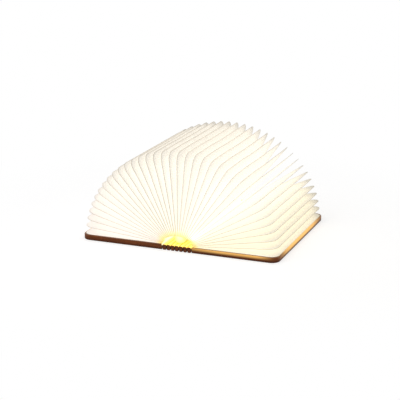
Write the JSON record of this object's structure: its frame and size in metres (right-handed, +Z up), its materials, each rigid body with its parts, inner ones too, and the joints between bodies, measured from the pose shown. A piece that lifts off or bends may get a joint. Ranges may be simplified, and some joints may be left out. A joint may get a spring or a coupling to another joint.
{
  "type": "folding book lamp",
  "caption": "Folding book lamp: two wooden covers on a kerfed wooden spine that bends, a fan of glowing paper pages, and a light bar along the spine.",
  "frame": {"origin": "middle of the footprint of the open lamp, on the surface that the covers lie on", "axes": "+X across the open book to the right cover, +Y along the spine to the back edge, +Z up"},
  "size_m": [0.19, 0.143, 0.0907],
  "materials": {
    "cover_wood": "oiled walnut, satin",
    "spine_wood": "oiled walnut with dark laser-cut walls",
    "page_paper": "translucent fibrous paper, matt",
    "magnet_nickel": "bright nickel plate",
    "tape_foam": "white foam",
    "bar_aluminium": "anodised, satin",
    "lens_opal": "opal, lit from inside",
    "cell_wrap": "silvery pouch",
    "lead_insulation": "soft",
    "board_laminate": "green solder mask",
    "socket_steel": "stamped steel",
    "sensor_case": "black epoxy",
    "led_phosphor": "yellow phosphor, lit"
  },
  "bodies": {
    "spine": {"spine_rib_centre": "spine_wood", "page_centre": "page_paper", "mounting_tape": "tape_foam", "light_bar_tray": "bar_aluminium", "diffuser_lens": "lens_opal", "end_cap_front": "lens_opal", "end_cap_back": "lens_opal", "battery_cell": "cell_wrap", "battery_leads": "lead_insulation", "control_board": "board_laminate", "charge_socket": "socket_steel", "hall_sensor": "sensor_case", "led_board": "board_laminate", "led_chips": "led_phosphor"},
    "page_right_01": {"page_right_01": "page_paper"},
    "page_right_02": {"page_right_02": "page_paper"},
    "page_right_03": {"page_right_03": "page_paper"},
    "page_right_04": {"page_right_04": "page_paper", "spine_rib_right_1": "spine_wood"},
    "page_right_05": {"page_right_05": "page_paper"},
    "page_right_06": {"page_right_06": "page_paper"},
    "page_right_07": {"page_right_07": "page_paper"},
    "page_right_08": {"page_right_08": "page_paper"},
    "page_right_09": {"page_right_09": "page_paper", "spine_rib_right_2": "spine_wood"},
    "page_right_10": {"page_right_10": "page_paper"},
    "page_right_11": {"page_right_11": "page_paper"},
    "page_right_12": {"page_right_12": "page_paper"},
    "page_right_13": {"page_right_13": "page_paper"},
    "page_right_14": {"page_right_14": "page_paper", "spine_rib_right_3": "spine_wood"},
    "page_right_15": {"page_right_15": "page_paper"},
    "page_right_16": {"page_right_16": "page_paper"},
    "page_right_17": {"page_right_17": "page_paper"},
    "right_cover": {"cover_right": "cover_wood", "endpaper_right": "page_paper", "magnets_right": "magnet_nickel"},
    "page_left_01": {"page_left_01": "page_paper"},
    "page_left_02": {"page_left_02": "page_paper"},
    "page_left_03": {"page_left_03": "page_paper"},
    "page_left_04": {"page_left_04": "page_paper", "spine_rib_left_1": "spine_wood"},
    "page_left_05": {"page_left_05": "page_paper"},
    "page_left_06": {"page_left_06": "page_paper"},
    "page_left_07": {"page_left_07": "page_paper"},
    "page_left_08": {"page_left_08": "page_paper"},
    "page_left_09": {"page_left_09": "page_paper", "spine_rib_left_2": "spine_wood"},
    "page_left_10": {"page_left_10": "page_paper"},
    "page_left_11": {"page_left_11": "page_paper"},
    "page_left_12": {"page_left_12": "page_paper"},
    "page_left_13": {"page_left_13": "page_paper"},
    "page_left_14": {"page_left_14": "page_paper", "spine_rib_left_3": "spine_wood"},
    "page_left_15": {"page_left_15": "page_paper"},
    "page_left_16": {"page_left_16": "page_paper"},
    "page_left_17": {"page_left_17": "page_paper"},
    "left_cover": {"cover_left": "cover_wood", "endpaper_left": "page_paper", "magnets_left": "magnet_nickel"}
  },
  "joints": [
    {"name": "page_right_01_fold", "type": "hinge", "parent": "spine", "child": "page_right_01", "pos_m": [0.00044, 0, 0.0025], "axis": [0, -1, 0], "range_deg": [-5.26, 5]},
    {"name": "page_right_02_fold", "type": "hinge", "parent": "page_right_01", "child": "page_right_02", "pos_m": [0.00133, 0, 0.0025], "axis": [0, -1, 0], "range_deg": [-5.26, 5]},
    {"name": "page_right_03_fold", "type": "hinge", "parent": "page_right_02", "child": "page_right_03", "pos_m": [0.00222, 0, 0.0025], "axis": [0, -1, 0], "range_deg": [-5.26, 5]},
    {"name": "page_right_04_fold", "type": "hinge", "parent": "page_right_03", "child": "page_right_04", "pos_m": [0.00311, 0, 0.0025], "axis": [0, -1, 0], "range_deg": [-5.26, 5]},
    {"name": "page_right_05_fold", "type": "hinge", "parent": "page_right_04", "child": "page_right_05", "pos_m": [0.004, 0, 0.0025], "axis": [0, -1, 0], "range_deg": [-5.26, 5]},
    {"name": "page_right_06_fold", "type": "hinge", "parent": "page_right_05", "child": "page_right_06", "pos_m": [0.00489, 0, 0.0025], "axis": [0, -1, 0], "range_deg": [-5.26, 5]},
    {"name": "page_right_07_fold", "type": "hinge", "parent": "page_right_06", "child": "page_right_07", "pos_m": [0.00578, 0, 0.0025], "axis": [0, -1, 0], "range_deg": [-5.26, 5]},
    {"name": "page_right_08_fold", "type": "hinge", "parent": "page_right_07", "child": "page_right_08", "pos_m": [0.00667, 0, 0.0025], "axis": [0, -1, 0], "range_deg": [-5.26, 5]},
    {"name": "page_right_09_fold", "type": "hinge", "parent": "page_right_08", "child": "page_right_09", "pos_m": [0.00756, 0, 0.0025], "axis": [0, -1, 0], "range_deg": [-5.26, 5]},
    {"name": "page_right_10_fold", "type": "hinge", "parent": "page_right_09", "child": "page_right_10", "pos_m": [0.00844, 0, 0.0025], "axis": [0, -1, 0], "range_deg": [-5.26, 5]},
    {"name": "page_right_11_fold", "type": "hinge", "parent": "page_right_10", "child": "page_right_11", "pos_m": [0.00933, 0, 0.0025], "axis": [0, -1, 0], "range_deg": [-5.26, 5]},
    {"name": "page_right_12_fold", "type": "hinge", "parent": "page_right_11", "child": "page_right_12", "pos_m": [0.01022, 0, 0.0025], "axis": [0, -1, 0], "range_deg": [-5.26, 5]},
    {"name": "page_right_13_fold", "type": "hinge", "parent": "page_right_12", "child": "page_right_13", "pos_m": [0.01111, 0, 0.0025], "axis": [0, -1, 0], "range_deg": [-5.26, 5]},
    {"name": "page_right_14_fold", "type": "hinge", "parent": "page_right_13", "child": "page_right_14", "pos_m": [0.012, 0, 0.0025], "axis": [0, -1, 0], "range_deg": [-5.26, 5]},
    {"name": "page_right_15_fold", "type": "hinge", "parent": "page_right_14", "child": "page_right_15", "pos_m": [0.01289, 0, 0.0025], "axis": [0, -1, 0], "range_deg": [-5.26, 5]},
    {"name": "page_right_16_fold", "type": "hinge", "parent": "page_right_15", "child": "page_right_16", "pos_m": [0.01378, 0, 0.0025], "axis": [0, -1, 0], "range_deg": [-5.26, 5]},
    {"name": "page_right_17_fold", "type": "hinge", "parent": "page_right_16", "child": "page_right_17", "pos_m": [0.01467, 0, 0.0025], "axis": [0, -1, 0], "range_deg": [-5.26, 5]},
    {"name": "right_cover_fold", "type": "hinge", "parent": "page_right_17", "child": "right_cover", "pos_m": [0.01556, 0, 0.0025], "axis": [0, -1, 0], "range_deg": [-5.26, 5]},
    {"name": "page_left_01_fold", "type": "hinge", "parent": "spine", "child": "page_left_01", "pos_m": [-0.00044, 0, 0.0025], "axis": [0, 1, 0], "range_deg": [-5.26, 5]},
    {"name": "page_left_02_fold", "type": "hinge", "parent": "page_left_01", "child": "page_left_02", "pos_m": [-0.00133, 0, 0.0025], "axis": [0, 1, 0], "range_deg": [-5.26, 5]},
    {"name": "page_left_03_fold", "type": "hinge", "parent": "page_left_02", "child": "page_left_03", "pos_m": [-0.00222, 0, 0.0025], "axis": [0, 1, 0], "range_deg": [-5.26, 5]},
    {"name": "page_left_04_fold", "type": "hinge", "parent": "page_left_03", "child": "page_left_04", "pos_m": [-0.00311, 0, 0.0025], "axis": [0, 1, 0], "range_deg": [-5.26, 5]},
    {"name": "page_left_05_fold", "type": "hinge", "parent": "page_left_04", "child": "page_left_05", "pos_m": [-0.004, 0, 0.0025], "axis": [0, 1, 0], "range_deg": [-5.26, 5]},
    {"name": "page_left_06_fold", "type": "hinge", "parent": "page_left_05", "child": "page_left_06", "pos_m": [-0.00489, 0, 0.0025], "axis": [0, 1, 0], "range_deg": [-5.26, 5]},
    {"name": "page_left_07_fold", "type": "hinge", "parent": "page_left_06", "child": "page_left_07", "pos_m": [-0.00578, 0, 0.0025], "axis": [0, 1, 0], "range_deg": [-5.26, 5]},
    {"name": "page_left_08_fold", "type": "hinge", "parent": "page_left_07", "child": "page_left_08", "pos_m": [-0.00667, 0, 0.0025], "axis": [0, 1, 0], "range_deg": [-5.26, 5]},
    {"name": "page_left_09_fold", "type": "hinge", "parent": "page_left_08", "child": "page_left_09", "pos_m": [-0.00756, 0, 0.0025], "axis": [0, 1, 0], "range_deg": [-5.26, 5]},
    {"name": "page_left_10_fold", "type": "hinge", "parent": "page_left_09", "child": "page_left_10", "pos_m": [-0.00844, 0, 0.0025], "axis": [0, 1, 0], "range_deg": [-5.26, 5]},
    {"name": "page_left_11_fold", "type": "hinge", "parent": "page_left_10", "child": "page_left_11", "pos_m": [-0.00933, 0, 0.0025], "axis": [0, 1, 0], "range_deg": [-5.26, 5]},
    {"name": "page_left_12_fold", "type": "hinge", "parent": "page_left_11", "child": "page_left_12", "pos_m": [-0.01022, 0, 0.0025], "axis": [0, 1, 0], "range_deg": [-5.26, 5]},
    {"name": "page_left_13_fold", "type": "hinge", "parent": "page_left_12", "child": "page_left_13", "pos_m": [-0.01111, 0, 0.0025], "axis": [0, 1, 0], "range_deg": [-5.26, 5]},
    {"name": "page_left_14_fold", "type": "hinge", "parent": "page_left_13", "child": "page_left_14", "pos_m": [-0.012, 0, 0.0025], "axis": [0, 1, 0], "range_deg": [-5.26, 5]},
    {"name": "page_left_15_fold", "type": "hinge", "parent": "page_left_14", "child": "page_left_15", "pos_m": [-0.01289, 0, 0.0025], "axis": [0, 1, 0], "range_deg": [-5.26, 5]},
    {"name": "page_left_16_fold", "type": "hinge", "parent": "page_left_15", "child": "page_left_16", "pos_m": [-0.01378, 0, 0.0025], "axis": [0, 1, 0], "range_deg": [-5.26, 5]},
    {"name": "page_left_17_fold", "type": "hinge", "parent": "page_left_16", "child": "page_left_17", "pos_m": [-0.01467, 0, 0.0025], "axis": [0, 1, 0], "range_deg": [-5.26, 5]},
    {"name": "left_cover_fold", "type": "hinge", "parent": "page_left_17", "child": "left_cover", "pos_m": [-0.01556, 0, 0.0025], "axis": [0, 1, 0], "range_deg": [-5.26, 5]}
  ],
  "couplings": [
    {"joint": "page_right_01_fold", "follows": "right_cover_fold", "ratio": 1},
    {"joint": "page_right_02_fold", "follows": "right_cover_fold", "ratio": 1},
    {"joint": "page_right_03_fold", "follows": "right_cover_fold", "ratio": 1},
    {"joint": "page_right_04_fold", "follows": "right_cover_fold", "ratio": 1},
    {"joint": "page_right_05_fold", "follows": "right_cover_fold", "ratio": 1},
    {"joint": "page_right_06_fold", "follows": "right_cover_fold", "ratio": 1},
    {"joint": "page_right_07_fold", "follows": "right_cover_fold", "ratio": 1},
    {"joint": "page_right_08_fold", "follows": "right_cover_fold", "ratio": 1},
    {"joint": "page_right_09_fold", "follows": "right_cover_fold", "ratio": 1},
    {"joint": "page_right_10_fold", "follows": "right_cover_fold", "ratio": 1},
    {"joint": "page_right_11_fold", "follows": "right_cover_fold", "ratio": 1},
    {"joint": "page_right_12_fold", "follows": "right_cover_fold", "ratio": 1},
    {"joint": "page_right_13_fold", "follows": "right_cover_fold", "ratio": 1},
    {"joint": "page_right_14_fold", "follows": "right_cover_fold", "ratio": 1},
    {"joint": "page_right_15_fold", "follows": "right_cover_fold", "ratio": 1},
    {"joint": "page_right_16_fold", "follows": "right_cover_fold", "ratio": 1},
    {"joint": "page_right_17_fold", "follows": "right_cover_fold", "ratio": 1},
    {"joint": "page_left_01_fold", "follows": "left_cover_fold", "ratio": 1},
    {"joint": "page_left_02_fold", "follows": "left_cover_fold", "ratio": 1},
    {"joint": "page_left_03_fold", "follows": "left_cover_fold", "ratio": 1},
    {"joint": "page_left_04_fold", "follows": "left_cover_fold", "ratio": 1},
    {"joint": "page_left_05_fold", "follows": "left_cover_fold", "ratio": 1},
    {"joint": "page_left_06_fold", "follows": "left_cover_fold", "ratio": 1},
    {"joint": "page_left_07_fold", "follows": "left_cover_fold", "ratio": 1},
    {"joint": "page_left_08_fold", "follows": "left_cover_fold", "ratio": 1},
    {"joint": "page_left_09_fold", "follows": "left_cover_fold", "ratio": 1},
    {"joint": "page_left_10_fold", "follows": "left_cover_fold", "ratio": 1},
    {"joint": "page_left_11_fold", "follows": "left_cover_fold", "ratio": 1},
    {"joint": "page_left_12_fold", "follows": "left_cover_fold", "ratio": 1},
    {"joint": "page_left_13_fold", "follows": "left_cover_fold", "ratio": 1},
    {"joint": "page_left_14_fold", "follows": "left_cover_fold", "ratio": 1},
    {"joint": "page_left_15_fold", "follows": "left_cover_fold", "ratio": 1},
    {"joint": "page_left_16_fold", "follows": "left_cover_fold", "ratio": 1},
    {"joint": "page_left_17_fold", "follows": "left_cover_fold", "ratio": 1}
  ]
}
